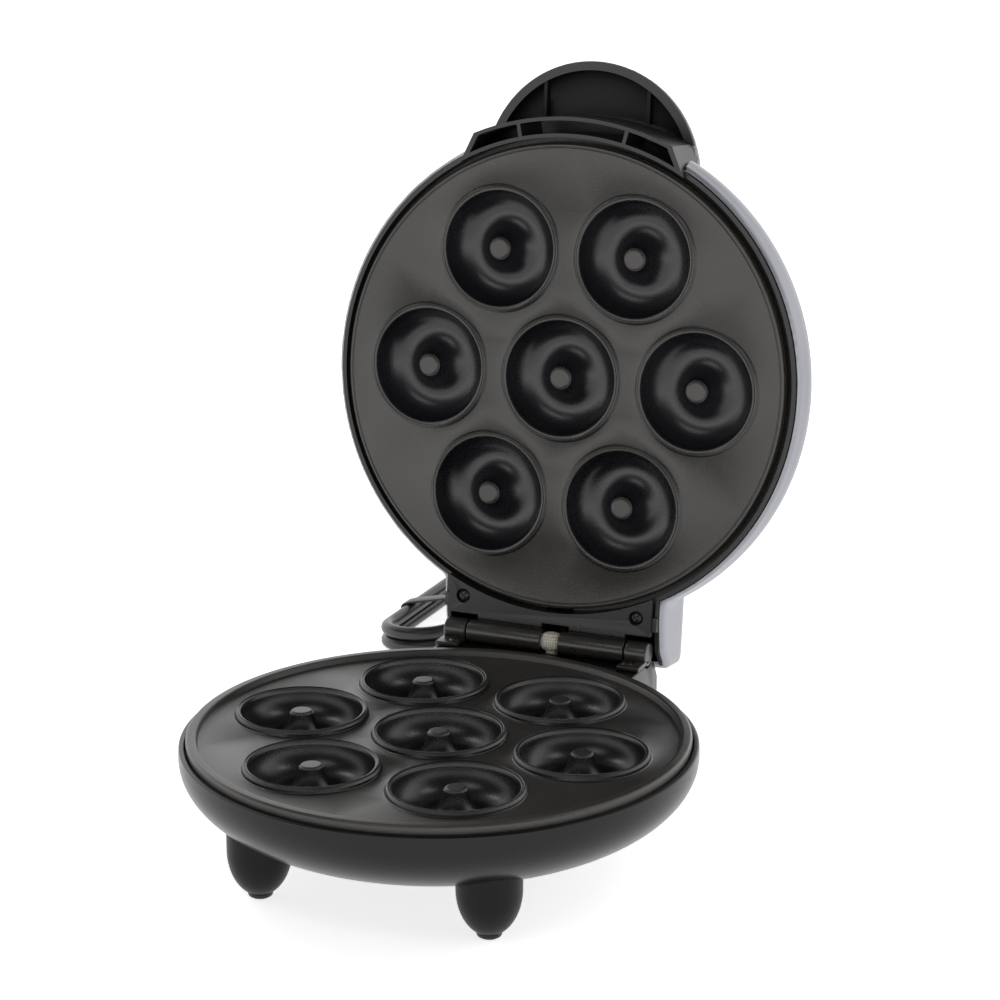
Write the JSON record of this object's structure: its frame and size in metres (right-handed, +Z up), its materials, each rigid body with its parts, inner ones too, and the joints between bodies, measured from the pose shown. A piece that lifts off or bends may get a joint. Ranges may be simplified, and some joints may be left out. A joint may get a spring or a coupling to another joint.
{
  "type": "donut maker",
  "caption": "Open clamshell donut maker with ring moulds in two non-stick plates, hinged silver lid with handle, bowl base on legs and a folded power cord.",
  "frame": {"origin": "on the worktop, directly under the middle of the lower plate", "axes": "+Z up, -Y front (opening side), +Y hinge side, +X right; lid at rest is open"},
  "size_m": [0.2412, 0.4579, 0.2983],
  "materials": {
    "base_plastic": "semi-gloss moulded black plastic",
    "leg_plastic": "fine-textured black plastic",
    "rubber": "matt black rubber",
    "dark_screw_steel": "blackened steel",
    "steel": "zinc-plated steel",
    "nonstick": "cast, with a satin black non-stick coating",
    "heater_steel": "heat-tinted stainless sheath",
    "sheet_metal": "mill-finish sheet",
    "brass": "plain",
    "white_plastic": "glass-filled white plastic",
    "wire_red": "silicone wire insulation",
    "hinge_plastic": "satin black moulding",
    "glass_sleeve": "woven glass-fibre sleeve",
    "cord_pvc": "black PVC",
    "blade_brass": "plain",
    "cover_silver": "satin silver paint over moulded plastic",
    "frame_plastic": "satin black moulding",
    "lens_red": "clear red lens",
    "lens_green": "clear green lens"
  },
  "bodies": {
    "base": {"base_housing": "base_plastic", "leg_front_left": "leg_plastic", "leg_front_right": "leg_plastic", "leg_back_left": "leg_plastic", "leg_back_right": "leg_plastic", "tip_front_left": "rubber", "tip_front_right": "rubber", "tip_back_left": "rubber", "tip_back_right": "rubber", "leg_screws": "steel", "lower_plate": "nonstick", "lower_heater": "heater_steel", "lower_reflector": "sheet_metal", "lower_plate_screws": "steel", "thermostat": "brass", "thermal_fuse": "brass", "terminal_block": "white_plastic", "base_wiring": "wire_red", "hinge_cap_left": "hinge_plastic", "hinge_cap_right": "hinge_plastic", "hinge_cap_screws": "dark_screw_steel", "hinge_pin_left": "steel", "hinge_pin_right": "steel", "wire_sleeve": "glass_sleeve", "strain_relief": "cord_pvc", "power_cord": "cord_pvc", "cord_hank": "cord_pvc", "cord_tie": "cord_pvc", "plug_body": "cord_pvc", "plug_blades": "blade_brass"},
    "lid": {"lid_cover": "cover_silver", "lid_frame": "frame_plastic", "handle_liner": "frame_plastic", "upper_plate": "nonstick", "upper_heater": "heater_steel", "heat_shield": "sheet_metal", "upper_plate_screws": "steel", "lid_thermal_fuse": "brass", "lid_wiring": "wire_red", "knuckle_left": "hinge_plastic", "knuckle_right": "hinge_plastic", "knuckle_screws": "dark_screw_steel", "power_lens": "lens_red", "ready_lens": "lens_green", "lamp_holder": "white_plastic"}
  },
  "joints": [
    {"name": "lid_hinge", "type": "hinge", "parent": "base", "child": "lid", "pos_m": [0, 0.1141, 0.0557], "axis": [-1, 0, 0], "range_deg": [-96.7, 0]}
  ]
}
